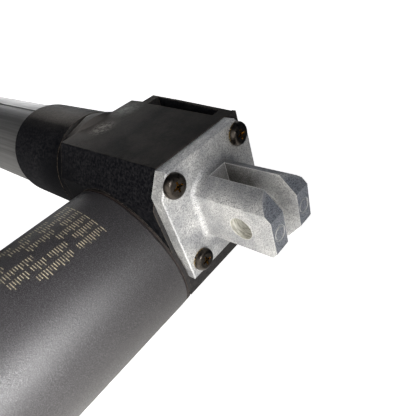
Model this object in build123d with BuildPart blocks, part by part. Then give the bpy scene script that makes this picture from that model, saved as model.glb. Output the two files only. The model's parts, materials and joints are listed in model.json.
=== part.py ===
from build123d import *
import os
from math import acos, cos, pi, radians, sin, tan

# Electric linear actuator with a right-angle gear motor, shown fully retracted.
# Row frame, millimetres: origin at the centre of the rear clevis bore, +X along the
# spindle towards the rod end, +Y towards the motor, +Z up. The bore runs along Y.

# ---- driving dimensions -------------------------------------------------------------
retracted_length = 375.0        # bore centre to bore centre
stroke = 195.0
bore_radius = 5.0

plate_front, plate_back = 20.75, 26.5
plate_half_width, plate_half_height = 26.0, 25.0
corner_in, corner_down = 5.9, 8.0               # the plate's two cut top corners
screw_offset, screw_radius, screw_head_radius, screw_head_height = 19.0, 2.5, 5.0, 2.6
screw_end = 38.0

fork_tip = 14.6                 # bore centre to the tip
fork_half_width, fork_flat_height = 12.3, 9.8
slot_half_width, slot_edge_height = 4.6, 14.8
slot_depth = 17.1               # bore centre to the slot's floor
tip_face_height, tip_bevel_start = 7.4, 8.2

box_end, box_top, box_bottom, box_far = 91.6, 25.4, -36.7, -23.6
neck_start, neck_end, neck_radius = 102.6, 148.2, 26.3
motor_face, flange_radius = 28.4, 34.4          # housing face that carries the motor

tube_radius, tube_bore, tube_start, tube_end = 24.5, 21.5, 103.2, 338.0
rod_radius, rod_bore, rod_start, rod_end_x = 14.0, 11.0, 112.0, 356.0
cap_end, cap_radius = 352.0, 25.9

worm_x, worm_z = 59.0, -22.0    # the worm's axis, also the motor's
gear_module, wheel_teeth = 1.25, 26
worm_pitch_radius = 5.75
gear_gap = 0.15                 # flank clearance on each side of a tooth
wheel_face = 9.0

lead = 6.0                      # spindle travel per turn
thread_crest, thread_root = 8.0, 5.8

can_radius, can_start, can_end, can_wall = 34.5, 28.9, 148.0, 2.0
core_radius, magnet_radius = 26.0, 26.8
bolt_offset, bolt_radius = 28.6, 1.75

running = 0.05                  # radial clearance of running fits

motor_plane = Plane(origin=(worm_x, 0, worm_z), x_dir=(1, 0, 0), z_dir=(0, 1, 0))

os.makedirs("parts", exist_ok=True)


def across(x):
    """Plane square to the spindle at x; its local axes are Y and Z."""
    return Plane.YZ.offset(x)


def along_motor(y):
    """Plane square to the motor axis at y, centred on that axis."""
    return motor_plane.offset(y)


def finish(part, label):
    part.label = label
    export_step(part, "parts/" + label + ".step")


def fork_profile():
    """One closed section of a clevis: flat cheeks, rounded towards the slot's edges."""
    w, f, s, h = fork_half_width, fork_flat_height, slot_half_width, slot_edge_height
    mid = (9.05, 12.75)
    with BuildLine() as line:
        Line((w, -f), (w, f))
        ThreePointArc((w, f), mid, (s, h))
        Line((s, h), (-s, h))
        ThreePointArc((-s, h), (-mid[0], mid[1]), (-w, f))
        Line((-w, f), (-w, -f))
        ThreePointArc((-w, -f), (-mid[0], -mid[1]), (-s, -h))
        Line((-s, -h), (s, -h))
        ThreePointArc((s, -h), (mid[0], -mid[1]), (w, -f))
    return line.line


def helical_ridge(axis, start, length, pitch, r_base, r_top, w_base, w_top):
    """One right-hand trapezoid ridge around an axis, from start, as a separate solid."""
    helix = Helix(pitch=pitch, height=length, radius=(r_base + r_top) / 2, center=start,
                  direction=axis)
    origin = Vector(*start)
    radial = (helix @ 0 - origin).normalized()
    section = Plane(origin=origin, x_dir=radial, z_dir=Vector(*axis).cross(radial))
    with BuildPart() as ridge:
        with BuildLine():
            add(helix)
        with BuildSketch(section):
            with BuildLine():
                Polyline((r_base, -w_base / 2), (r_top, -w_top / 2), (r_top, w_top / 2),
                         (r_base, w_base / 2), close=True)
            make_face()
        sweep(is_frenet=True)
    return ridge.part


# ---- rear clevis and its screws -----------------------------------------------------
screw_grid = (2 * screw_offset, 2 * screw_offset, 2, 2)
plate_outline = [(-plate_half_width, -plate_half_height), (plate_half_width, -plate_half_height),
                 (plate_half_width, plate_half_height - corner_down),
                 (plate_half_width - corner_in, plate_half_height),
                 (corner_in - plate_half_width, plate_half_height),
                 (-plate_half_width, plate_half_height - corner_down)]

with BuildPart() as rear_clevis:
    with BuildSketch(across(plate_front)):
        with BuildLine():
            Polyline(*plate_outline, close=True)
        make_face()
    extrude(amount=plate_back - plate_front)
    fillet(rear_clevis.edges().group_by(Axis.X)[0], 0.7)
    with BuildSketch(across(-fork_tip)):
        add(fork_profile())
        make_face()
    extrude(amount=fork_tip + plate_front + 1)
    # soft foot where the cheeks meet the plate
    foot = rear_clevis.edges().filter_by(
        lambda e: abs(e.center().X - plate_front) < 0.01
        and abs(e.center().Y) < fork_half_width + 0.5 and abs(e.center().Z) < slot_edge_height + 0.2)
    fillet(foot, 2.5)
    # bevels above and below the tip face
    with BuildSketch(Plane.XZ):
        for side in (1, -1):
            with BuildLine():
                Polyline((-tip_bevel_start, side * slot_edge_height), (-30, side * 40),
                         (-fork_tip - 1, side * (tip_face_height - 1.156)), close=True)
            make_face()
    extrude(amount=20, both=True, mode=Mode.SUBTRACT)
    with BuildSketch(Plane.XZ):
        with Locations(((slot_depth - 40) / 2, 0)):
            Rectangle(slot_depth + 40, 60)
    extrude(amount=slot_half_width, both=True, mode=Mode.SUBTRACT)
    with BuildSketch(Plane.XZ):
        Circle(bore_radius)
    extrude(amount=20, both=True, mode=Mode.SUBTRACT)
    # ejector marks on the two tip faces
    with BuildSketch(across(-fork_tip)):
        with Locations((8.3, 0), (-8.3, 0)):
            Circle(3.1)
            Circle(2.6, mode=Mode.SUBTRACT)
    extrude(amount=0.3, mode=Mode.SUBTRACT)
    with BuildSketch(across(plate_front)):
        with GridLocations(*screw_grid):
            Circle(screw_radius + 0.25)
    extrude(amount=10, mode=Mode.SUBTRACT)
finish(rear_clevis.part, "rear_clevis")

with BuildPart() as clevis_screws:
    with BuildSketch(across(plate_front - screw_head_height)):
        with GridLocations(*screw_grid):
            Circle(screw_head_radius)
    extrude(amount=screw_head_height)
    crowns = clevis_screws.edges().filter_by(
        lambda e: abs(e.center().X - plate_front + screw_head_height) < 0.01)
    fillet(crowns, 1.9)
    with BuildSketch(across(plate_front)):
        with GridLocations(*screw_grid):
            Circle(screw_radius)
    extrude(amount=screw_end - plate_front - 1)
    with BuildSketch(across(plate_front - screw_head_height)):
        with GridLocations(*screw_grid):
            Rectangle(4.6, 1.0)
            Rectangle(1.0, 4.6)
            Circle(1.2)
    extrude(amount=1.9, taper=12, mode=Mode.SUBTRACT)
finish(clevis_screws.part, "clevis_screws")

# ---- gearbox housing ----------------------------------------------------------------
socket_end, socket_floor = 82.8, 9.4
block_outline = [(plate_back, -20), (plate_back, -25.2), (socket_end, -31.0), (socket_end, -20)]
pocket_x = (32.5, 77.5)
pocket_near, pocket_far = (-19.6, -22.2), (-24.2, -29.6)        # at each end of pocket_x
boss_end, boss_radius = 40.0, 4.2                               # covers a screw in the pocket
pin_x = (47.0, 55.0, 63.0, 71.0)
lug_start = 24.6
box_section = [(box_far, box_bottom), (27.8, box_bottom), (27.8, 11.4), (19.8, box_top),
               (box_far, box_top)]
shoulder = [(88.8, 0), (88.8, 25.2), (92.2, 27.3), (97, 26.9), (neck_start, 26.0),
            (neck_start, neck_radius), (neck_end, neck_radius), (neck_end, 0)]
relief_turn = 14.8                                              # degrees about the spindle
carrier_radius = 20.0


def pocket_wall(x, ends):
    """The y of one of the pocket's leaning walls at x."""
    return ends[0] + (ends[1] - ends[0]) * (x - pocket_x[0]) / (pocket_x[1] - pocket_x[0])


def pocket_outline(x0, x1, gap):
    """The pocket's plan between x0 and x1, drawn in by a gap on its long sides."""
    return [(x0, pocket_wall(x0, pocket_near) - gap), (x1, pocket_wall(x1, pocket_near) - gap),
            (x1, pocket_wall(x1, pocket_far) + gap), (x0, pocket_wall(x0, pocket_far) + gap)]


pin_places = [(x, (pocket_wall(x, pocket_near) + pocket_wall(x, pocket_far)) / 2) for x in pin_x]

with BuildPart() as gearbox_housing:
    with BuildSketch(across(plate_back)):
        with BuildLine():
            Polyline(*box_section, close=True)
        make_face()
    extrude(amount=box_end - plate_back)
    long_edges = gearbox_housing.edges().filter_by(Axis.X)
    fillet(long_edges.filter_by(lambda e: e.center().Z < -30 and e.center().Y < 0), 6)
    fillet(long_edges.filter_by(lambda e: e.center().Z > 25 and e.center().Y > 0), 0.8)
    # block behind the box that holds the cable socket
    with BuildSketch(Plane.XY.offset(-14)):
        with BuildLine():
            Polyline(*block_outline, close=True)
        make_face()
    extrude(amount=box_top + 14)
    # flared collar and flange for the motor
    with BuildSketch(along_motor(20)):
        Circle(31.5)
    with BuildSketch(along_motor(26.4)):
        Circle(flange_radius)
    loft()
    with BuildSketch(Plane.XY.offset(-70)):
        with Locations((plate_back / 2, 13)):
            Rectangle(plate_back, 26.8)
    extrude(amount=110, mode=Mode.SUBTRACT)
    with BuildSketch(along_motor(26.4)):
        Circle(flange_radius)
    extrude(amount=motor_face - 26.4)
    # sloped corner of the top face, beside the shoulder
    slope_start = Vector(84.6, -6.4, box_top)
    slope_line = Vector(76.9, -13.2, box_top) - slope_start
    slope_corner = Vector(box_end, box_far, box_top - 0.3)
    slope_up = slope_line.cross(slope_corner - slope_start)
    with BuildSketch(Plane(origin=slope_start, x_dir=slope_line, z_dir=slope_up)):
        with Locations((0, 15)):
            Rectangle(60, 30)
    extrude(amount=4, mode=Mode.SUBTRACT)
    # round shoulder that rises out of the box, and the neck that carries the tube
    with BuildSketch(Plane.XY):
        with BuildLine():
            Polyline(*shoulder, close=True)
        make_face()
    revolve(axis=Axis.X)
    # flat relief between the shoulder and the neck, on the motor's side
    lean = radians(relief_turn)
    with BuildSketch(Plane(origin=(0, 0, 0), x_dir=(1, 0, 0), z_dir=(0, -cos(lean), sin(lean)))):
        with BuildLine():
            Polyline((95.5, 27.2), (neck_start, 24.4), (neck_start, 28), (95.5, 28), close=True)
        make_face()
    extrude(amount=12, both=True, mode=Mode.SUBTRACT)
    # lug beside the plate's cut corner
    with BuildSketch(across(lug_start)):
        with BuildLine():
            Polyline((-20.2, box_top), (-25.7, box_top), (-25.7, 18.0), close=True)
        make_face()
    extrude(amount=plate_back - lug_start)
    rim = gearbox_housing.edges().filter_by(GeomType.CIRCLE)
    fillet(rim.filter_by(lambda e: abs(e.center().X - neck_end) < 0.01), 0.8)
    # cable socket pocket in the top face, and the boss that covers the screw inside it
    with BuildSketch(Plane.XY.offset(socket_floor)):
        with BuildLine():
            Polyline(*pocket_outline(*pocket_x, 0), close=True)
        make_face()
    extrude(amount=20, mode=Mode.SUBTRACT)
    with BuildSketch(across(plate_back)):
        with Locations((-screw_offset, screw_offset)):
            Circle(boss_radius)
    extrude(amount=boss_end - plate_back)
    # spindle cavity, from the rear bore through the bearing seat to the tube's seat
    for x0, x1, r in ((26, 47, carrier_radius + 0.05), (47, 70, 19.0), (70, 84, 16.0),
                      (84, 88, 12.0), (88, tube_start, 21.5), (tube_start, 150, tube_radius)):
        with BuildSketch(across(x0)):
            Circle(r)
        extrude(amount=x1 - x0, mode=Mode.SUBTRACT)
    # worm cavity along the motor axis, with the tail bush's pocket and shaft clearance
    for y0, y1, r in ((-14, 30, 8.5), (-20, -14, 6.0), (-21, -20, 4.0)):
        with BuildSketch(along_motor(y0)):
            Circle(r)
        extrude(amount=y1 - y0, mode=Mode.SUBTRACT)
    with BuildSketch(across(26)):
        with GridLocations(*screw_grid):
            Circle(screw_radius)
    extrude(amount=screw_end - 26, mode=Mode.SUBTRACT)
    with BuildSketch(along_motor(21.5)):
        with GridLocations(1, 2 * bolt_offset, 1, 2):
            Circle(bolt_radius)
    extrude(amount=10, mode=Mode.SUBTRACT)
    # cored pockets under the box
    with BuildSketch(Plane.XY.offset(box_bottom)):
        with Locations((38, -8), (38, 9), (79.5, -8), (79.5, 9)):
            RectangleRounded(14, 14, 1.5)
    extrude(amount=8, mode=Mode.SUBTRACT)
finish(gearbox_housing.part, "gearbox_housing")

with BuildPart() as socket_insert:
    with BuildSketch(Plane.XY.offset(socket_floor)):
        with BuildLine():
            Polyline(*pocket_outline(boss_end + 1, pocket_x[1] - 0.1, 0.1), close=True)
        make_face()
        with Locations(*pin_places):
            Rectangle(1, 1, mode=Mode.SUBTRACT)
    extrude(amount=3)
finish(socket_insert.part, "socket_insert")

with BuildPart() as socket_pins:
    with BuildSketch(Plane.XY.offset(socket_floor)):
        with Locations(*pin_places):
            Rectangle(1, 1)
    extrude(amount=8.4)
    chamfer(socket_pins.faces().sort_by(Axis.Z)[-len(pin_x):].edges(), 0.2)
finish(socket_pins.part, "socket_pins")

# ---- outer tube, guide cap and wiper ------------------------------------------------
strip_y, strip_z = 5.0, (-20.9, -19.6)
cap_screw_x, cap_screw_angles = 328.0, (90, 210, 330)
cap_screw_seat, cap_head_radius, cap_head_height = 23.6, 3.3, 1.6
cap_depth = 20.0                # how far the cap reaches into the tube
seal_start, seal_radius, seal_width = 346.0, 18.0, 4.6

with BuildPart() as outer_tube:
    with BuildSketch(across(tube_start)):
        Circle(tube_radius)
        Circle(tube_bore, mode=Mode.SUBTRACT)
        Rectangle(2 * tube_bore + 2, 4.2, mode=Mode.SUBTRACT)      # keyways in the bore
        with Locations((0, tube_radius), (0, -tube_radius)):
            Rectangle(1.3, 1.0, mode=Mode.SUBTRACT)                # thin outer grooves
    extrude(amount=tube_end - tube_start)
    for angle in cap_screw_angles:
        out = (0, cos(radians(angle)), sin(radians(angle)))
        with BuildSketch(Plane(origin=(cap_screw_x, 0, 0), x_dir=(1, 0, 0), z_dir=out).offset(18)):
            Circle(2.05)
        extrude(amount=8, mode=Mode.SUBTRACT)
        with BuildSketch(Plane(origin=(cap_screw_x, 0, 0), x_dir=(1, 0, 0), z_dir=out)
                         .offset(cap_screw_seat)):
            Circle(cap_head_radius + 0.2)
        extrude(amount=3, mode=Mode.SUBTRACT)
finish(outer_tube.part, "outer_tube")

with BuildPart() as guide_cap:
    with BuildSketch(across(tube_end - cap_depth)):
        Circle(tube_bore)
    extrude(amount=cap_depth)
    with BuildSketch(across(tube_end)):
        Circle(cap_radius)
    extrude(amount=cap_end - tube_end)
    front = guide_cap.edges().filter_by(lambda e: abs(e.center().X - cap_end) < 0.01)
    fillet(front, 2.5)
    with BuildSketch(across(310)):
        Circle(rod_radius + running)
    extrude(amount=50, mode=Mode.SUBTRACT)
    with BuildSketch(across(seal_start)):
        Circle(seal_radius)
    extrude(amount=seal_width, mode=Mode.SUBTRACT)
    with BuildSketch(across(310)):
        with Locations((0, -20)):
            Rectangle(10.6, 8)                                      # room for the switch strip
    extrude(amount=9, mode=Mode.SUBTRACT)
    for angle in cap_screw_angles:
        out = (0, cos(radians(angle)), sin(radians(angle)))
        with BuildSketch(Plane(origin=(cap_screw_x, 0, 0), x_dir=(1, 0, 0), z_dir=out).offset(16)):
            Circle(2.0)
        extrude(amount=8, mode=Mode.SUBTRACT)
finish(guide_cap.part, "guide_cap")

with BuildPart() as cap_screws:
    for angle in cap_screw_angles:
        out = (0, cos(radians(angle)), sin(radians(angle)))
        base = Plane(origin=(cap_screw_x, 0, 0), x_dir=(1, 0, 0), z_dir=out)
        with BuildSketch(base.offset(16.2)):
            Circle(2.0)
        extrude(amount=cap_screw_seat - 16.2)
        with BuildSketch(base.offset(cap_screw_seat)):
            Circle(cap_head_radius)
        extrude(amount=cap_head_height)
        with BuildSketch(base.offset(cap_screw_seat + cap_head_height)):
            Rectangle(3.4, 0.8)
            Rectangle(0.8, 3.4)
        extrude(amount=-0.9, mode=Mode.SUBTRACT)
finish(cap_screws.part, "cap_screws")

with BuildPart() as wiper_seal:
    with BuildSketch(across(seal_start)):
        Circle(seal_radius)
        Circle(rod_radius + running, mode=Mode.SUBTRACT)
    extrude(amount=seal_width)
finish(wiper_seal.part, "wiper_seal")

# ---- limit switches inside the tube -------------------------------------------------
with BuildPart() as limit_strip:
    with BuildSketch(across(90)):
        with Locations((0, sum(strip_z) / 2)):
            Rectangle(2 * strip_y, strip_z[1] - strip_z[0])
    extrude(amount=227)
finish(limit_strip.part, "limit_strip")

with BuildPart() as limit_switches:
    with BuildSketch(Plane.XY.offset(strip_z[1])):
        with Locations((96, 0), (312, 0)):
            Rectangle(8, 6)
    extrude(amount=3.6)
    chamfer(limit_switches.edges().group_by(Axis.Z)[-1], 0.4)
finish(limit_switches.part, "limit_switches")

# ---- ball bearings ------------------------------------------------------------------
bearing_x = (36.0, 74.0)
bearing_width, ball_circle, ball_radius = 10.0, 11.0, 2.3


def bearing_rings(r_in, r_out):
    """Both bearings' rings of one size, with the ball groove turned in."""
    with BuildPart() as rings:
        for x0 in bearing_x:
            with BuildSketch(Plane.XY):
                with Locations((x0 + bearing_width / 2, (r_in + r_out) / 2)):
                    Rectangle(bearing_width, r_out - r_in)
                with Locations((x0 + bearing_width / 2, ball_circle)):
                    Circle(ball_radius + 0.1, mode=Mode.SUBTRACT)
            revolve(axis=Axis.X)
    return rings.part


finish(bearing_rings(12.8, 16.0), "bearing_outer_rings")
finish(bearing_rings(6.0, 9.2), "bearing_inner_rings")

with BuildPart() as bearing_balls:
    for x0 in bearing_x:
        for k in range(9):
            turn = 2 * pi * k / 9
            with Locations((x0 + bearing_width / 2, ball_circle * cos(turn),
                            ball_circle * sin(turn))):
                Sphere(ball_radius)
finish(bearing_balls.part, "bearing_balls")

with BuildPart() as bearing_carrier:
    with BuildSketch(across(plate_back)):
        Circle(carrier_radius)
        Circle(12.5, mode=Mode.SUBTRACT)
    extrude(amount=47 - plate_back)
    with BuildSketch(across(bearing_x[0])):
        Circle(16.0)
    extrude(amount=12, mode=Mode.SUBTRACT)
finish(bearing_carrier.part, "bearing_carrier")

# ---- spindle group ------------------------------------------------------------------
wheel_pin_x = 69.0
flank = tan(radians(15))
crest_width = 2.2
root_width = crest_width + 2 * (thread_crest - thread_root) * flank

with BuildPart() as lead_screw:
    with BuildSketch(across(28)):
        Circle(6.0)
    extrude(amount=84 - 28)
    with BuildSketch(across(84)):
        Circle(thread_crest)
    extrude(amount=3)
    with BuildSketch(across(87)):
        Circle(thread_root)
    extrude(amount=322 - 87)
    embed = 0.15
    add(helical_ridge((1, 0, 0), (90, 0, 0), 228, lead, thread_root - embed, thread_crest,
                      root_width + 2 * embed * flank, crest_width))
    chamfer(lead_screw.faces().sort_by(Axis.X)[0].edges(), 0.8)
    with BuildSketch(Plane(origin=(wheel_pin_x, 0, 0), x_dir=(1, 0, 0), z_dir=(0, 0, 1))):
        Circle(1.5)
    extrude(amount=12, both=True, mode=Mode.SUBTRACT)
finish(lead_screw.part, "lead_screw")


def wheel_outline(turn):
    """Corner points of the worm wheel's section, turned by an angle in radians."""
    r_pitch = gear_module * wheel_teeth / 2
    r_base = r_pitch * cos(radians(20))
    r_root, r_tip = r_pitch - 1.25 * gear_module, r_pitch + gear_module
    half = (pi * gear_module / 2 - gear_gap) / 2 / r_pitch
    inv_pitch = tan(radians(20)) - radians(20)
    flank_points = []
    for r in (r_root, r_base + 0.05, r_pitch - 0.3, r_pitch + 0.45, r_tip):
        a = acos(min(1.0, r_base / r))
        flank_points.append((r, half + inv_pitch - (tan(a) - a)))
    points = []
    for k in range(wheel_teeth):
        mid = -pi / 2 + (k + 0.5) * 2 * pi / wheel_teeth + turn
        for r, a in flank_points:
            points.append((r * cos(mid - a), r * sin(mid - a)))
        for r, a in reversed(flank_points):
            points.append((r * cos(mid + a), r * sin(mid + a)))
    return points


# the tooth lines lean with the worm's thread: the lean is small over the face width
wheel_lean = gear_module / 2 / worm_pitch_radius * (wheel_face / 2) / (
    gear_module * wheel_teeth / 2)

with BuildPart() as worm_wheel:
    with BuildSketch(across(worm_x - wheel_face / 2)):
        with BuildLine():
            Polyline(*wheel_outline(-wheel_lean), close=True)
        make_face()
    with BuildSketch(across(worm_x + wheel_face / 2)):
        with BuildLine():
            Polyline(*wheel_outline(wheel_lean), close=True)
        make_face()
    loft(ruled=True)
    with BuildSketch(across(46)):
        Circle(9.0)
    extrude(amount=28)
    with BuildSketch(across(40)):
        Circle(6.0)
    extrude(amount=40, mode=Mode.SUBTRACT)
    with BuildSketch(Plane(origin=(wheel_pin_x, 0, 0), x_dir=(1, 0, 0), z_dir=(0, 0, 1))):
        Circle(1.5)
    extrude(amount=12, both=True, mode=Mode.SUBTRACT)
finish(worm_wheel.part, "worm_wheel")

with BuildPart() as wheel_pin:
    with BuildSketch(Plane(origin=(wheel_pin_x, 0, -8.8), x_dir=(1, 0, 0), z_dir=(0, 0, 1))):
        Circle(1.5)
    extrude(amount=17.6)
finish(wheel_pin.part, "wheel_pin")

with BuildPart() as spindle_nut:
    with BuildSketch(across(29.5)):
        RegularPolygon(9.2, 6)
        Circle(6.0, mode=Mode.SUBTRACT)
    extrude(amount=6.4)
finish(spindle_nut.part, "spindle_nut")

# ---- rod group ----------------------------------------------------------------------
rod_pin_x = 348.0

with BuildPart() as inner_rod:
    with BuildSketch(across(rod_start)):
        Circle(rod_radius)
        Circle(rod_bore, mode=Mode.SUBTRACT)
    extrude(amount=rod_end_x - rod_start)
    with BuildSketch(Plane(origin=(rod_pin_x, 0, 0), x_dir=(1, 0, 0), z_dir=(0, 0, 1))):
        Circle(2.0)
    extrude(amount=16, both=True, mode=Mode.SUBTRACT)
finish(inner_rod.part, "inner_rod")

nut_gap = 0.25
with BuildPart() as drive_nut:
    with BuildSketch(across(104)):
        Circle(tube_bore - 0.3)
        Rectangle(2 * tube_bore + 1.2, 3.6)                         # keys in the keyways
        with Locations((0, -19.5)):
            Rectangle(12, 9, mode=Mode.SUBTRACT)                    # clears the switch strip
    extrude(amount=rod_start - 104)
    with BuildSketch(across(rod_start)):
        Circle(rod_bore - 0.05)
    extrude(amount=24)
    with BuildSketch(across(100)):
        Circle(thread_crest + nut_gap)
    extrude(amount=40, mode=Mode.SUBTRACT)
    inner = thread_root + 0.3
    width_in = lead - root_width + 2 * 0.3 * flank - 2 * 0.2
    width_out = width_in + 2 * (thread_crest + nut_gap + 0.15 - inner) * flank
    add(helical_ridge((1, 0, 0), (105, 0, 0), 28, lead,
                      inner, thread_crest + nut_gap + 0.15, width_in, width_out))
finish(drive_nut.part, "drive_nut")

with BuildPart() as front_clevis:
    with BuildSketch(across(338)):
        Circle(rod_bore - 0.05)
    extrude(amount=18.5)
    with BuildSketch(across(rod_end_x)):
        Circle(rod_radius - 0.1)
    extrude(amount=4)
    with BuildSketch(across(rod_end_x + 1.5)):
        add(fork_profile())
        make_face()
    extrude(amount=retracted_length + fork_tip - rod_end_x - 1.5)
    with BuildSketch(Plane.XZ):
        for side in (1, -1):
            with BuildLine():
                Polyline((retracted_length + tip_bevel_start, side * slot_edge_height),
                         (retracted_length + 30, side * 40),
                         (retracted_length + fork_tip + 1, side * (tip_face_height - 1.156)),
                         close=True)
            make_face()
    extrude(amount=20, both=True, mode=Mode.SUBTRACT)
    with BuildSketch(Plane.XZ):
        with Locations((retracted_length - 13 + 25, 0)):
            Rectangle(50, 60)
    extrude(amount=slot_half_width, both=True, mode=Mode.SUBTRACT)
    with BuildSketch(Plane.XZ):
        with Locations((retracted_length, 0)):
            Circle(bore_radius)
    extrude(amount=20, both=True, mode=Mode.SUBTRACT)
    with BuildSketch(Plane(origin=(rod_pin_x, 0, 0), x_dir=(1, 0, 0), z_dir=(0, 0, 1))):
        Circle(2.0)
    extrude(amount=16, both=True, mode=Mode.SUBTRACT)
finish(front_clevis.part, "front_clevis")

with BuildPart() as rod_pin:
    with BuildSketch(Plane(origin=(rod_pin_x, 0, -13.7), x_dir=(1, 0, 0), z_dir=(0, 0, 1))):
        Circle(2.0)
    extrude(amount=27.4)
finish(rod_pin.part, "rod_pin")

# ---- motor --------------------------------------------------------------------------
with BuildPart() as motor_gasket:
    with BuildSketch(along_motor(motor_face)):
        Circle(flange_radius - 0.1)
        Circle(30.6, mode=Mode.SUBTRACT)
    extrude(amount=can_start - motor_face)
finish(motor_gasket.part, "motor_gasket")

with BuildPart() as motor_can:
    with BuildSketch(along_motor(can_start)):
        Circle(can_radius)
    extrude(amount=can_end - can_start)
    with BuildSketch(along_motor(can_end)):
        Circle(13.0)
    extrude(amount=4)
    ring = motor_can.edges().filter_by(GeomType.CIRCLE)
    fillet(ring.filter_by(lambda e: e.radius > 30 and abs(e.center().Y - can_start) < 0.01), 0.6)
    fillet(ring.filter_by(lambda e: e.radius > 30 and abs(e.center().Y - can_end) < 0.01), 2.6)
    fillet(ring.filter_by(lambda e: e.radius < 14 and e.center().Y > can_end + 3), 1.5)
    with BuildSketch(along_motor(can_start)):
        Circle(can_radius - can_wall)
    extrude(amount=can_end - can_wall - can_start, mode=Mode.SUBTRACT)
    with BuildSketch(along_motor(can_end - 5)):
        Circle(10.0)
    extrude(amount=7.5, mode=Mode.SUBTRACT)
    with BuildSketch(along_motor(can_end - 5)):
        with GridLocations(1, 2 * bolt_offset, 1, 2):
            Circle(bolt_radius)
    extrude(amount=10, mode=Mode.SUBTRACT)
finish(motor_can.part, "motor_can")

with BuildPart() as motor_bolts:
    with BuildSketch(along_motor(22)):
        with GridLocations(1, 2 * bolt_offset, 1, 2):
            Circle(bolt_radius)
    extrude(amount=can_end - 22)
    with BuildSketch(along_motor(can_end)):
        with GridLocations(1, 2 * bolt_offset, 1, 2):
            Circle(3.2)
    extrude(amount=2.4)
    fillet(motor_bolts.edges().group_by(Axis.Y)[-1], 1.0)
    with BuildSketch(along_motor(can_end + 2.4)):
        with GridLocations(1, 2 * bolt_offset, 1, 2):
            Rectangle(3.4, 0.9)
            Rectangle(0.9, 3.4)
    extrude(amount=-1.3, mode=Mode.SUBTRACT)
finish(motor_bolts.part, "motor_bolts")

with BuildPart() as motor_front_plate:
    with BuildSketch(along_motor(can_start)):
        Circle(can_radius - can_wall)
        Circle(9.0, mode=Mode.SUBTRACT)
        with GridLocations(1, 2 * bolt_offset, 1, 2):
            Circle(bolt_radius, mode=Mode.SUBTRACT)
    extrude(amount=4)
finish(motor_front_plate.part, "motor_front_plate")

with BuildPart() as motor_magnets:
    with BuildSketch(along_motor(58)):
        Circle(can_radius - can_wall)
        Circle(magnet_radius, mode=Mode.SUBTRACT)
        Rectangle(26, 80, mode=Mode.SUBTRACT)
    extrude(amount=58)
finish(motor_magnets.part, "motor_magnets")

with BuildPart() as brush_card:
    with BuildSketch(along_motor(can_start + 4)):
        Circle(31.0)
        Circle(13.0, mode=Mode.SUBTRACT)
        with GridLocations(1, 2 * bolt_offset, 1, 2):
            Circle(bolt_radius + 0.2, mode=Mode.SUBTRACT)
    extrude(amount=3)
    with BuildSketch(along_motor(can_start + 7)):
        with Locations((-19, 0), (19, 0)):
            Rectangle(12, 10)
    extrude(amount=12)
    with BuildSketch(along_motor(can_start + 9)):
        Rectangle(60, 6)
    extrude(amount=8, mode=Mode.SUBTRACT)
finish(brush_card.part, "brush_card")

with BuildPart() as brushes:
    with BuildSketch(along_motor(can_start + 9)):
        with Locations((-16.6, 0), (16.6, 0)):
            Rectangle(11, 6)
    extrude(amount=8)
finish(brushes.part, "brushes")

with BuildPart() as worm_bush_front:
    with BuildSketch(along_motor(18)):
        Circle(8.5)
        Circle(3 + running, mode=Mode.SUBTRACT)
    extrude(amount=9)
finish(worm_bush_front.part, "worm_bush_front")

with BuildPart() as worm_bush_tail:
    with BuildSketch(along_motor(-20)):
        Circle(6.0)
        Circle(3 + running, mode=Mode.SUBTRACT)
    extrude(amount=6)
finish(worm_bush_tail.part, "worm_bush_tail")

with BuildPart() as motor_bush_rear:
    with BuildSketch(along_motor(can_end - 5)):
        Circle(10.0)
        Circle(3 + running, mode=Mode.SUBTRACT)
    extrude(amount=6.5)
finish(motor_bush_rear.part, "motor_bush_rear")

# ---- armature group -----------------------------------------------------------------
with BuildPart() as motor_shaft:
    with BuildSketch(along_motor(-20.4)):
        Circle(3.0)
    extrude(amount=can_end + 2 + 20.4)
    with BuildSketch(along_motor(39)):
        Circle(4.0)
    extrude(amount=86)
finish(motor_shaft.part, "motor_shaft")

worm_root = worm_pitch_radius - 1.25 * gear_module
worm_tip = worm_pitch_radius + gear_module
tooth = pi * gear_module / 2 - gear_gap
slope = tan(radians(20))
with BuildPart() as worm:
    with BuildSketch(along_motor(-13)):
        Circle(worm_root)
    extrude(amount=26)
    axial_pitch = pi * gear_module
    add(helical_ridge((0, 1, 0), (worm_x, -3 * axial_pitch, worm_z), 6 * axial_pitch, axial_pitch,
                      worm_root - 0.12, worm_tip,
                      tooth + 2 * (worm_pitch_radius - worm_root + 0.12) * slope,
                      tooth - 2 * gear_module * slope))
    with BuildSketch(along_motor(-20)):
        Circle(3.0)
    extrude(amount=40, mode=Mode.SUBTRACT)
finish(worm.part, "worm")

with BuildPart() as armature_core:
    with BuildSketch(along_motor(62)):
        Circle(core_radius)
        Circle(4.0, mode=Mode.SUBTRACT)
        with PolarLocations(core_radius - 1, 12):
            Rectangle(4, 2.2, mode=Mode.SUBTRACT)
        with PolarLocations(core_radius - 7, 12):
            SlotOverall(10, 5.4, mode=Mode.SUBTRACT)
    extrude(amount=50)
finish(armature_core.part, "armature_core")

with BuildPart() as armature_windings:
    for y0 in (54.0, 112.0):
        with BuildSketch(along_motor(y0)):
            Circle(24.0)
            Circle(9.0, mode=Mode.SUBTRACT)
        extrude(amount=8)
    fillet(armature_windings.edges().filter_by(
        lambda e: abs(e.center().Y - 54) < 0.01 or abs(e.center().Y - 120) < 0.01), 3)
    with BuildSketch(along_motor(62)):
        with PolarLocations(core_radius - 7, 12):
            SlotOverall(9.6, 5.0)
    extrude(amount=50)
finish(armature_windings.part, "armature_windings")

with BuildPart() as commutator:
    with BuildSketch(along_motor(39)):
        Circle(11.0)
        Circle(4.0, mode=Mode.SUBTRACT)
        with PolarLocations(11.0, 12):
            Rectangle(1.6, 0.5, mode=Mode.SUBTRACT)
    extrude(amount=14)
finish(commutator.part, "commutator")
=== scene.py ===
import bpy
import json
from math import cos, sin, radians
from mathutils import Matrix, Vector


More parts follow.
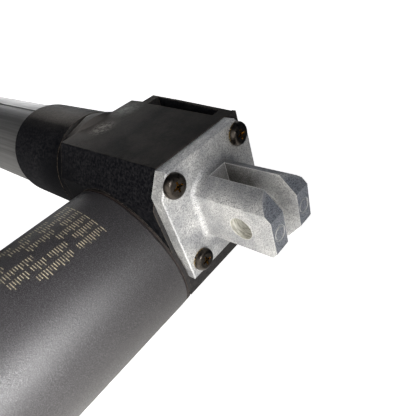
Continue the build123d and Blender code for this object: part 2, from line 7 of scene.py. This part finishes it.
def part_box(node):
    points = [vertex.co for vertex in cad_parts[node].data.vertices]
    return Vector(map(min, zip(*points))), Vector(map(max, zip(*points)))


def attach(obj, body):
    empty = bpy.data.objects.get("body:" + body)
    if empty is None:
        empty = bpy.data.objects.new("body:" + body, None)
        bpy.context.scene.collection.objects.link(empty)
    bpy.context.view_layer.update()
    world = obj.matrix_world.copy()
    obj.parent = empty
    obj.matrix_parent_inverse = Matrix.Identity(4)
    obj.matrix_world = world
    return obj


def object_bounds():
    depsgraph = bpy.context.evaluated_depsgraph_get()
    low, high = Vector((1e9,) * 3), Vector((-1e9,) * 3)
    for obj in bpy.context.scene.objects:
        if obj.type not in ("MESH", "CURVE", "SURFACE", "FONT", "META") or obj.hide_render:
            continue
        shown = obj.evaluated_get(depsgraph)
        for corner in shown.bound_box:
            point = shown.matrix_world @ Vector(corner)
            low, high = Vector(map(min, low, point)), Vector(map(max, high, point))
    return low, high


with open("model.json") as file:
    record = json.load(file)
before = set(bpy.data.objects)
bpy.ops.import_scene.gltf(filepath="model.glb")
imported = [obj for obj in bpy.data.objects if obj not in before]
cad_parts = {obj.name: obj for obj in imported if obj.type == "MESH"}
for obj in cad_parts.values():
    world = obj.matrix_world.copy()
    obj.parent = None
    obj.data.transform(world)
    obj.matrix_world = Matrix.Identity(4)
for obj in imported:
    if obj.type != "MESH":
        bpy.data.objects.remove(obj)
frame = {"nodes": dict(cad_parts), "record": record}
cad_box = [list(v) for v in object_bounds()]
nodes = frame["nodes"]
MM = 0.001


# ---- node helpers -------------------------------------------------------------------
class Mat:
    """A material with its node tree, and short calls that add and join nodes."""

    def __init__(self, name, metal=0.0):
        self.mat = bpy.data.materials.new(name)
        self.mat.use_nodes = True
        self.tree = self.mat.node_tree
        self.tree.nodes.clear()
        out = self.tree.nodes.new("ShaderNodeOutputMaterial")
        self.bsdf = self.tree.nodes.new("ShaderNodeBsdfPrincipled")
        self.link(self.bsdf.outputs[0], out.inputs["Surface"])
        self.set("Metallic", metal)
        self.coord = self.tree.nodes.new("ShaderNodeTexCoord").outputs["Object"]
        self.normal = None

    def link(self, a, b):
        self.tree.links.new(a, b)

    def set(self, name, value):
        self.bsdf.inputs[name].default_value = value

    def put(self, socket, value):
        """Give a socket a colour or a number, or join another socket to it."""
        if isinstance(value, tuple):
            socket.default_value = (*value, 1)
        elif isinstance(value, float):
            socket.default_value = value
        else:
            self.link(value, socket)

    def stretch(self, scale):
        """The object's coordinates, scaled by axis."""
        n = self.tree.nodes.new("ShaderNodeMapping")
        n.inputs["Scale"].default_value = scale
        self.link(self.coord, n.inputs["Vector"])
        return n.outputs[0]

    def noise(self, scale, detail, rough, at=None):
        n = self.tree.nodes.new("ShaderNodeTexNoise")
        n.inputs["Scale"].default_value = scale
        n.inputs["Detail"].default_value = detail
        n.inputs["Roughness"].default_value = rough
        self.link(at or self.coord, n.inputs["Vector"])
        return n.outputs["Fac"]

    def ramp(self, fac, start, end, low=0.0, high=1.0):
        """Low up to the start, high from the end on, and a straight slope between them."""
        n = self.tree.nodes.new("ShaderNodeValToRGB")
        for stop, place, value in zip(n.color_ramp.elements, (start, end), (low, high)):
            stop.position = place
            stop.color = (value, value, value, 1)
        self.link(fac, n.inputs[0])
        return n.outputs[0]

    def mix(self, fac, a, b):
        """From colour a to colour b as the factor goes from 0 to 1."""
        n = self.tree.nodes.new("ShaderNodeMix")
        n.data_type = "RGBA"
        for index, value in ((0, fac), (6, a), (7, b)):
            self.put(n.inputs[index], value)
        return n.outputs[2]

    def math(self, op, a, b):
        n = self.tree.nodes.new("ShaderNodeMath")
        n.operation = op
        self.put(n.inputs[0], a)
        self.put(n.inputs[1], b)
        return n.outputs[0]

    def times(self, a, b):
        return self.math("MULTIPLY", a, b)

    def normal_dot(self):
        """A node for the surface normal's dot product with its second input."""
        g = self.tree.nodes.new("ShaderNodeNewGeometry")
        d = self.tree.nodes.new("ShaderNodeVectorMath")
        d.operation = "DOT_PRODUCT"
        self.link(g.outputs["Normal"], d.inputs[0])
        return d

    def edge(self, radius, low, high):
        """White near sharp edges, where the normal differs from a rounded one."""
        b = self.tree.nodes.new("ShaderNodeBevel")
        b.samples = 6
        b.inputs["Radius"].default_value = radius
        d = self.normal_dot()
        self.link(b.outputs[0], d.inputs[1])
        return self.ramp(d.outputs["Value"], low, high, 1.0, 0.0)

    def facing(self, axis, low, high):
        """White on faces whose normal points along a direction, black on the others."""
        d = self.normal_dot()
        d.inputs[1].default_value = axis
        return self.ramp(d.outputs["Value"], low, high)

    def crevice(self, distance, low, high):
        """White in corners and recesses, black on open surfaces."""
        n = self.tree.nodes.new("ShaderNodeAmbientOcclusion")
        n.samples = 8
        n.inputs["Distance"].default_value = distance
        return self.ramp(n.outputs["AO"], low, high, 1.0, 0.0)

    def near(self, place, radius):
        """White around one point of the object, fading out to its radius."""
        d = self.tree.nodes.new("ShaderNodeVectorMath")
        d.operation = "DISTANCE"
        self.link(self.coord, d.inputs[0])
        d.inputs[1].default_value = place
        return self.ramp(self.math("DIVIDE", d.outputs["Value"], radius), 0.0, 1.0, 1.0, 0.0)

    def bump(self, height, distance, strength):
        n = self.tree.nodes.new("ShaderNodeBump")
        n.inputs["Strength"].default_value = strength
        n.inputs["Distance"].default_value = distance
        self.link(height, n.inputs["Height"])
        if self.normal:
            self.link(self.normal, n.inputs["Normal"])
        self.normal = n.outputs[0]
        self.link(self.normal, self.bsdf.inputs["Normal"])

    def colour(self, socket):
        self.link(socket, self.bsdf.inputs["Base Color"])

    def roughness(self, socket):
        self.link(socket, self.bsdf.inputs["Roughness"])


# ---- materials ----------------------------------------------------------------------
# directions, and places on the object in metres, that the masks below use
up, rearward, tip_bevel = (0, 0, 1), (-1, 0, 0), (-0.87, 0, 0.5)
neck_top, neck_underside = (0.120, 0, 0.026), (0.099, 0.024, -0.004)
neck_relief, pocket_corner = (0.0885, 0.004, 0.0235), (0.086, -0.015, 0.025)
shoulder_mark = (0.0815, 0.0035, 0.0254)
fork_root, fork_tip = (0.019, -0.012, 0.006), (-0.020, 0, 0.002)
near_ear_bore, far_ear_bore = (0, 0.0085, 0), (0, -0.0085, 0)


def housing_plastic():
    """Black glass-filled plastic: fine grain, brown-grey dust on top, scuffed edges, lighter rear faces,
    and painted light and shade: a highlight on the neck's top, fill light in the relief, light on the
    top's far corner, shade under the neck.
    """
    black, pale_grain = (0.0004, 0.0008, 0.0022), (0.0190, 0.0185, 0.0205)
    thin_dust, thick_dust = (0.002, 0.002, 0.0025), (0.036, 0.032, 0.029)
    # colours for a lighter grey on rear faces, a painted highlight on the neck's top, painted fill light
    # in the relief and painted shade under the neck
    rear_face_grey, neck_top_highlight = (0.036, 0.034, 0.034), (0.150, 0.138, 0.128)
    relief_fill_light, underside_shade_black = (0.085, 0.078, 0.074), (0.0006, 0.0008, 0.0018)
    # a chalk smudge, a painted light grey for the top's far corner, and worn edges
    chalk, corner_light_grey, worn_brown = (0.36, 0.34, 0.31), (0.27, 0.28, 0.26), (0.115, 0.095, 0.075)
    m = Mat("housing_plastic")
    m.set("Specular IOR Level", 0.05)
    grain = m.noise(1500, 4, 0.65)
    mottle = m.noise(850, 5, 0.75)
    cloud = m.noise(90, 4, 0.6)
    base = m.mix(m.ramp(mottle, 0.42, 0.64), black, pale_grain)
    patches = m.mix(0.5, m.ramp(mottle, 0.38, 0.62), m.ramp(cloud, 0.35, 0.65))
    dust = m.mix(patches, thin_dust, thick_dust)
    base = m.mix(m.math("POWER", m.facing(up, 0.86, 1.0), 1.6), base, dust)
    # rear-facing faces made a lighter mottled grey
    rear = m.times(m.facing(rearward, 0.5, 0.9), m.ramp(mottle, 0.36, 0.6, 0.5, 1.0))
    base = m.mix(rear, base, rear_face_grey)
    # painted highlight: the up-facing top of the neck made lighter, broken up by the mottle
    neck_ridge_highlight = m.times(m.facing(up, 0.95, 1.0), m.near(neck_top, 60 * MM))
    base = m.mix(m.times(neck_ridge_highlight, m.ramp(mottle, 0.36, 0.62, 0.5, 1.0)), base, neck_top_highlight)
    # painted light: fills the shadow in the relief between the box's shoulder and the neck
    relief = m.ramp(m.near(neck_relief, 15 * MM), 0.0, 0.5, 0.0, 0.9)
    base = m.mix(relief, base, relief_fill_light)
    smudge = m.times(m.near(shoulder_mark, 7.5 * MM), m.ramp(mottle, 0.46, 0.56))
    base = m.mix(smudge, base, chalk)
    # painted light: the far corner of the top face made pale grey, mottled
    corner = m.times(m.near(pocket_corner, 10 * MM), m.ramp(mottle, 0.40, 0.56, 0.3, 1.0))
    base = m.mix(corner, base, corner_light_grey)
    # painted shade: the neck's lower side towards the motor made darker
    under = m.ramp(m.near(neck_underside, 30 * MM), 0.0, 0.5, 0.0, 0.9)
    base = m.mix(under, base, underside_shade_black)
    scuff = m.times(m.edge(0.6 * MM, 0.70, 0.97), m.ramp(mottle, 0.40, 0.58, 0.1, 0.9))
    m.colour(m.mix(scuff, base, worn_brown))
    m.roughness(m.ramp(mottle, 0.3, 0.7, 0.55, 0.78))
    m.bump(mottle, 0.12 * MM, 0.7)
    m.bump(grain, 0.07 * MM, 0.8)
    return m.mat


def cast_aluminium():
    """Bead-blasted casting: fine specks, soft clouds, bright worn edges that are partly a painted edge
    highlight, dirt and painted shade at the fork's root, and a painted dark blue reflection on the tip's
    bevels.
    """
    # plain tones, and a near white for worn edges that is partly a painted edge highlight
    dull, bright, worn_edge_and_highlight = (0.42, 0.425, 0.44), (0.72, 0.72, 0.71), (0.93, 0.93, 0.92)
    # speck grey, and brown for dirt and painted shade at the fork's root
    speck_grey, dirt_and_shade_brown = (0.16, 0.16, 0.17), (0.055, 0.050, 0.045)
    # colours of the painted reflection on the tip's bevel faces
    reflection_blue_dark, reflection_blue_pale = (0.050, 0.064, 0.100), (0.24, 0.26, 0.30)
    ring_dark, ring_pale = (0.50, 0.485, 0.43), (1.0, 0.99, 0.93)
    m = Mat("cast_aluminium", metal=0.5)
    cloud = m.noise(90, 4, 0.6)
    grain = m.noise(2600, 3, 0.6)
    speck = m.noise(2100, 4, 0.75)
    base = m.mix(m.ramp(cloud, 0.36, 0.64), dull, bright)
    base = m.mix(m.ramp(speck, 0.37, 0.57, 0.9, 0.0), base, speck_grey)
    # dirt and painted shade: brown-dark in the occluded recesses at the fork's root
    root = m.ramp(m.near(fork_root, 26 * MM), 0.1, 0.40)
    root_dirt_and_shade = m.times(m.crevice(16 * MM, 0.25, 0.95), m.ramp(speck, 0.3, 0.7, 1.0, 0.7))
    base = m.mix(m.times(root, root_dirt_and_shade), base, dirt_and_shade_brown)
    # painted reflection: the fork tip's bevel faces made dark blue-grey
    tip = m.times(m.facing(tip_bevel, 0.70, 0.86), m.ramp(m.near(fork_tip, 20 * MM), 0.05, 0.25))
    bevel_reflection_blue = m.mix(m.ramp(speck, 0.40, 0.60), reflection_blue_dark, reflection_blue_pale)
    base = m.mix(m.times(tip, 0.75), base, bevel_reflection_blue)
    bores = m.math("ADD", m.near(near_ear_bore, 6.4 * MM), m.near(far_ear_bore, 6.4 * MM))
    rings = m.ramp(m.noise(1100, 4, 0.65, at=m.stretch((0.25, 1, 0.25))), 0.38, 0.58)
    base = m.mix(m.ramp(bores, 0.0, 0.04), base, m.mix(rings, ring_dark, ring_pale))
    # worn edges, partly a painted edge highlight: near white along sharp edges
    edge = m.times(m.edge(0.7 * MM, 0.62, 0.96), m.ramp(cloud, 0.3, 0.6, 0.6, 1.0))
    m.colour(m.mix(edge, base, worn_edge_and_highlight))
    m.roughness(m.ramp(grain, 0.3, 0.7, 0.40, 0.56))
    m.bump(speck, 0.14 * MM, 1.0)
    m.bump(grain, 0.07 * MM, 0.9)
    return m.mat


def tube_aluminium():
    """Satin anodised extrusion with fine drawing lines along its length."""
    line_dark, line_pale = (0.140, 0.140, 0.142), (0.235, 0.235, 0.237)
    m = Mat("tube_aluminium", metal=0.85)
    lines = m.noise(650, 4, 0.65, at=m.stretch((0.010, 1, 1)))
    haze = m.noise(40, 3, 0.5)
    m.colour(m.mix(m.ramp(lines, 0.35, 0.65), line_dark, line_pale))
    m.roughness(m.mix(0.5, m.ramp(lines, 0.3, 0.7, 0.42, 0.58), m.ramp(haze, 0.3, 0.7, 0.44, 0.56)))
    m.bump(lines, 0.03 * MM, 0.6)
    return m.mat


def motor_paint():
    """Dark grey fine-texture powder coat with a faint metallic sparkle."""
    dark_paint, pale_paint, spark = (0.0185, 0.0168, 0.0184), (0.0260, 0.0238, 0.0258), (0.13, 0.127, 0.13)
    m = Mat("motor_paint")
    m.set("Specular IOR Level", 0.48)
    sparkle = m.noise(3200, 2, 0.6)
    fine = m.noise(1500, 4, 0.65)
    cloud = m.noise(35, 3, 0.5)
    base = m.mix(m.ramp(cloud, 0.3, 0.7), dark_paint, pale_paint)
    m.colour(m.mix(m.ramp(sparkle, 0.46, 0.66, 0.0, 0.42), base, spark))
    m.roughness(m.ramp(fine, 0.3, 0.7, 0.38, 0.54))
    m.bump(fine, 0.10 * MM, 0.8)
    m.bump(sparkle, 0.06 * MM, 0.8)
    return m.mat


def bronzed_screw():
    """Dark bronze plating, polished on the crown, with brass-coloured residue and painted shade in the
    recess.
    """
    dark_bronze, pale_bronze = (0.028, 0.025, 0.022), (0.062, 0.053, 0.046)
    # colours for the painted shade in the recess and for the brass residue
    recess_shade, brass = (0.010, 0.009, 0.008), (0.80, 0.56, 0.22)
    m = Mat("dark_screw", metal=1.0)
    n = m.noise(900, 4, 0.6)
    base = m.mix(m.ramp(n, 0.3, 0.7), dark_bronze, pale_bronze)
    recess = m.crevice(1.6 * MM, 0.35, 0.8)
    crumbs = m.times(recess, m.ramp(m.noise(1500, 3, 0.6), 0.47, 0.54))
    # painted shade: darker in the cross recess
    base = m.mix(m.times(recess, 0.8), base, recess_shade)
    m.colour(m.mix(crumbs, base, brass))
    m.roughness(m.ramp(n, 0.3, 0.7, 0.24, 0.40))
    m.bump(n, 0.03 * MM, 0.5)
    return m.mat


def plain(name, colour, rough, metal=1.0, scale=700, depth=0.03 * MM, dark_share=0.8, stretch=None):
    """A metal or moulding with fine mottled colour, roughness and bump."""
    m = Mat(name, metal=metal)
    n = m.noise(scale, 4, 0.6, at=m.stretch(stretch) if stretch else None)
    dark = tuple(c * dark_share for c in colour)
    m.colour(m.mix(m.ramp(n, 0.3, 0.7), dark, colour))
    m.roughness(m.ramp(n, 0.3, 0.7, rough * 0.8, rough * 1.2))
    m.bump(n, depth, 0.5)
    return m.mat


slot_materials = {
    "housing_plastic": housing_plastic(),
    "socket_plastic": plain("socket_plastic", (0.010, 0.008, 0.007), 0.6, 0.0),
    "clevis_aluminium": cast_aluminium(),
    "tube_aluminium": tube_aluminium(),
    "motor_paint": motor_paint(),
    "dark_screw": bronzed_screw(),
    "zinc_screw": plain("zinc_screw", (0.50, 0.51, 0.52), 0.3),
    "gasket_rubber": plain("gasket_rubber", (0.014, 0.006, 0.005), 0.7, 0.0),
    "seal_rubber": plain("seal_rubber", (0.012, 0.012, 0.012), 0.6, 0.0),
    "turned_steel": plain("turned_steel", (0.50, 0.51, 0.53), 0.28),
    "bearing_steel": plain("bearing_steel", (0.66, 0.67, 0.69), 0.18),
    "rod_chrome": plain("rod_chrome", (0.80, 0.81, 0.82), 0.20, stretch=(1, 0.2, 0.2),
                        depth=0.01 * MM, dark_share=0.92),
    "cap_plastic": plain("cap_plastic", (0.013, 0.013, 0.014), 0.5, 0.0, scale=1000),
    "nut_plastic": plain("nut_plastic", (0.75, 0.73, 0.68), 0.45, 0.0),
    "wheel_bronze": plain("wheel_bronze", (0.60, 0.42, 0.20), 0.3),
    "bush_bronze": plain("bush_bronze", (0.55, 0.38, 0.2), 0.4),
    "contact_brass": plain("contact_brass", (0.75, 0.60, 0.28), 0.25),
    "magnet_ferrite": plain("magnet_ferrite", (0.05, 0.05, 0.055), 0.6, 0.2),
    "core_laminations": plain("core_laminations", (0.33, 0.34, 0.36), 0.4, stretch=(1, 12, 1)),
    "winding_copper": plain("winding_copper", (0.55, 0.22, 0.10), 0.35),
    "brush_carbon": plain("brush_carbon", (0.03, 0.03, 0.03), 0.6, 0.3),
    "card_board": plain("card_board", (0.03, 0.12, 0.06), 0.45, 0.0),
    "card_plastic": plain("card_plastic", (0.18, 0.09, 0.04), 0.5, 0.0),
}
for part in frame["record"]["subparts"]:
    mesh = nodes[part["node"]].data
    mesh.materials.clear()
    mesh.materials.append(slot_materials[part["material_slot"]])


# ---- print on the motor: rows of plain ticks ----------------------------------------
can_low, can_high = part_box("motor_can")
can_axis = ((can_low[0] + can_high[0]) / 2, (can_low[2] + can_high[2]) / 2)
can_radius = (can_high[0] - can_low[0]) / 2
ink_thickness = 0.03 * MM
tick_width, tick_pitch, tick_height = 0.30 * MM, 1.0 * MM, 3.6 * MM
tick_cycle = (1.0, 0.62, 0.62, 0.85, 0.62, 1.0, 0.7)             # shares of the full height
print_start = can_low[1] + 12 * MM
# each row: angle about the motor's axis from +X in degrees, then ticks and gaps in turn
print_rows = (
    (117.8, (12, 2, 15)),
    (110.2, (10, 3, 8, 1, 6, 1, 8, 3, 7)),
    (102.6, (14, 10, 16, 4, 6)),
    (95.0, (9, 3, 12, 9, 8)),
    (87.4, (16, 4, 9, 8, 5)),
    (79.8, (7, 3, 13, 3, 10)),
)


def tick(verts, faces, y, angle, share):
    """One closed curved tick that lies on the can and has a share of the full height."""
    steps = 4
    span = tick_height / can_radius
    first = len(verts)
    for i in range(steps + 1):
        a = radians(angle) + span * (share * i / steps - 0.5)
        for r in (can_radius - ink_thickness, can_radius + ink_thickness):
            for dy in (0, tick_width):
                verts.append((can_axis[0] + r * cos(a), y + dy, can_axis[1] + r * sin(a)))
    for i in range(steps):
        p = first + 4 * i
        for k, j in ((0, 1), (1, 3), (3, 2), (2, 0)):
            faces.append((p + k, p + j, p + 4 + j, p + 4 + k))
    last = first + 4 * steps
    faces.append((first, first + 2, first + 3, first + 1))
    faces.append((last, last + 1, last + 3, last + 2))


tick_verts, tick_faces = [], []
for angle, runs in print_rows:
    y = print_start
    for i, count in enumerate(runs):
        if i % 2 == 0:
            for k in range(count):
                share = tick_cycle[(k + i) % len(tick_cycle)]
                tick(tick_verts, tick_faces, y + k * tick_pitch, angle, share)
        y += count * tick_pitch
ink_mesh = bpy.data.meshes.new("motor_print")
ink_mesh.from_pydata(tick_verts, [], tick_faces)
ink = bpy.data.objects.new("motor_print", ink_mesh)
bpy.context.scene.collection.objects.link(ink)
worn_ink, fresh_ink = (0.10, 0.09, 0.075), (0.55, 0.49, 0.33)
print_ink = Mat("print_ink")
wear = print_ink.noise(1400, 4, 0.7)
print_ink.colour(print_ink.mix(print_ink.ramp(wear, 0.38, 0.60), worn_ink, fresh_ink))
print_ink.roughness(print_ink.ramp(wear, 0.3, 0.7, 0.4, 0.6))
print_ink.bump(wear, 0.02 * MM, 0.5)
ink_mesh.materials.append(print_ink.mat)
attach(ink, "housing")


# ---- stage --------------------------------------------------------------------------
# one pale sheet: a round floor whose rim curves up into a wall and a ceiling far away
floor_gap = 0.5 * MM
floor_height = cad_box[0][2] - floor_gap
# reach from the middle and rise above the floor, in metres, from the floor's rim to the ceiling's
sheet_profile = ((5.0, 0.0), (5.6, 0.15), (6.0, 0.6), (6.2, 1.5), (6.0, 4.0), (4.5, 5.6))
sides = 64
sheet_verts = []
for reach, rise in sheet_profile:
    for k in range(sides):
        a = radians(360 * k / sides)
        sheet_verts.append((reach * cos(a), reach * sin(a), floor_height + rise))
sheet_faces = [tuple(range(sides))]
for ring in range(len(sheet_profile) - 1):
    for k in range(sides):
        p, q = ring * sides + k, ring * sides + (k + 1) % sides
        sheet_faces.append((p, p + sides, q + sides, q))
sheet_faces.append(tuple(reversed(range(len(sheet_verts) - sides, len(sheet_verts)))))
floor_mesh = bpy.data.meshes.new("floor")
floor_mesh.from_pydata(sheet_verts, [], sheet_faces)
for face in floor_mesh.polygons[1:-1]:                           # all but the floor and ceiling discs
    face.use_smooth = True
floor = bpy.data.objects.new("floor", floor_mesh)
bpy.context.scene.collection.objects.link(floor)
floor_white = Mat("floor_white")
for name, value in (("Base Color", (0.86, 0.86, 0.86, 1)), ("Roughness", 0.9),
                    ("Emission Color", (1, 1, 1, 1)), ("Emission Strength", 0.85)):
    floor_white.set(name, value)
floor_mesh.materials.append(floor_white.mat)
# the light on the object comes from the sky and the lamps, not from the sheet
floor.visible_diffuse = floor.visible_glossy = floor.visible_shadow = False

# soft light: bright from low on the motor's side, dim and cool from overhead
world = bpy.data.worlds.new("studio")
bpy.context.scene.world = world
world.use_nodes = True
sky = world.node_tree
sky_place = sky.nodes.new("ShaderNodeTexCoord")
sky_dot = sky.nodes.new("ShaderNodeVectorMath")
sky_dot.operation = "DOT_PRODUCT"
bright_side = Vector((-0.17, 0.83, -0.51)).normalized()
sky_dot.inputs[1].default_value = bright_side / 2
sky_half = sky.nodes.new("ShaderNodeMath")                       # -0.5..0.5 becomes 0..1
sky_half.inputs[1].default_value = 0.5
sky_ramp = sky.nodes.new("ShaderNodeValToRGB")
sky.links.new(sky_place.outputs["Generated"], sky_dot.inputs[0])
sky.links.new(sky_dot.outputs["Value"], sky_half.inputs[0])
sky.links.new(sky_half.outputs[0], sky_ramp.inputs[0])
sky_split = sky.nodes.new("ShaderNodeSeparateXYZ")
sky_front = sky.nodes.new("ShaderNodeMapRange")                  # dimmer towards the rod end
for socket, value in zip(("From Min", "From Max", "To Min", "To Max"), (0.15, 0.75, 2.9, 0.5)):
    sky_front.inputs[socket].default_value = value
sky.links.new(sky_place.outputs["Generated"], sky_split.inputs[0])
sky.links.new(sky_split.outputs["X"], sky_front.inputs["Value"])
sky.links.new(sky_front.outputs[0], sky.nodes["Background"].inputs["Strength"])
sky.links.new(sky_ramp.outputs[0], sky.nodes["Background"].inputs[0])
sky_stops = ((0.0, (0.036, 0.039, 0.046)), (0.30, (0.012, 0.015, 0.021)), (0.50, (0.031, 0.033, 0.038)),
             (0.62, (0.27, 0.263, 0.25)), (0.80, (0.80, 0.78, 0.74)), (1.0, (1.0, 0.98, 0.93)))
stops = sky_ramp.color_ramp.elements
while len(stops) < len(sky_stops):
    stops.new(0.5)
for stop, (place, shade) in zip(stops, sky_stops):
    stop.position, stop.color = place, (*shade, 1)


def lamp(name, place, aim, size, power, spread=180):
    """A rectangular lamp at a place, turned towards its aim, hidden from the camera."""
    data = bpy.data.lights.new(name, "AREA")
    data.shape = "RECTANGLE"
    data.size, data.size_y = size
    data.energy = power
    data.spread = radians(spread)
    o = bpy.data.objects.new(name, data)
    bpy.context.scene.collection.objects.link(o)
    o.location = place
    o.rotation_euler = (Vector(aim) - Vector(place)).to_track_quat("-Z", "Y").to_euler()
    o.visible_camera = False


# rear: the narrow highlight along the motor; back: dusty top faces; far: the tube's top edge
lamp("rear", (-0.46, 0.18, 0.14), (0.030, 0.150, -0.008), (0.16, 0.22), 0.38, 28)
lamp("back", (0.536, -0.60, 0.348), (0.12, 0, 0.02), (0.50, 0.26), 0.65)
lamp("far", (0.840, -0.330, 0.108), (0.15, 0, 0.02), (0.36, 0.22), 1.5)

# ---- camera -------------------------------------------------------------------------
# the camera's own axes and place in the row frame
right = Vector((-0.77726, -0.59226, -0.21235))
down = Vector((-0.27227, 0.62089, -0.73510))
ahead = Vector((0.56721, -0.51355, -0.64385))
cam_data = bpy.data.cameras.new("camera")
cam = bpy.data.objects.new("camera", cam_data)
bpy.context.scene.collection.objects.link(cam)
turn = Matrix((right, -down, -ahead)).transposed()
cam_place = Vector((-0.07865, 0.08518, 0.09068))
cam.matrix_world = Matrix.Translation(cam_place) @ turn.to_4x4()
cam_data.sensor_width = 36
cam_data.lens = 33.027
cam_data.shift_x = -0.0709
cam_data.shift_y = 0.0505
cam_data.clip_start = 0.01
bpy.context.scene.camera = cam
bpy.context.scene.view_settings.view_transform = "Standard"
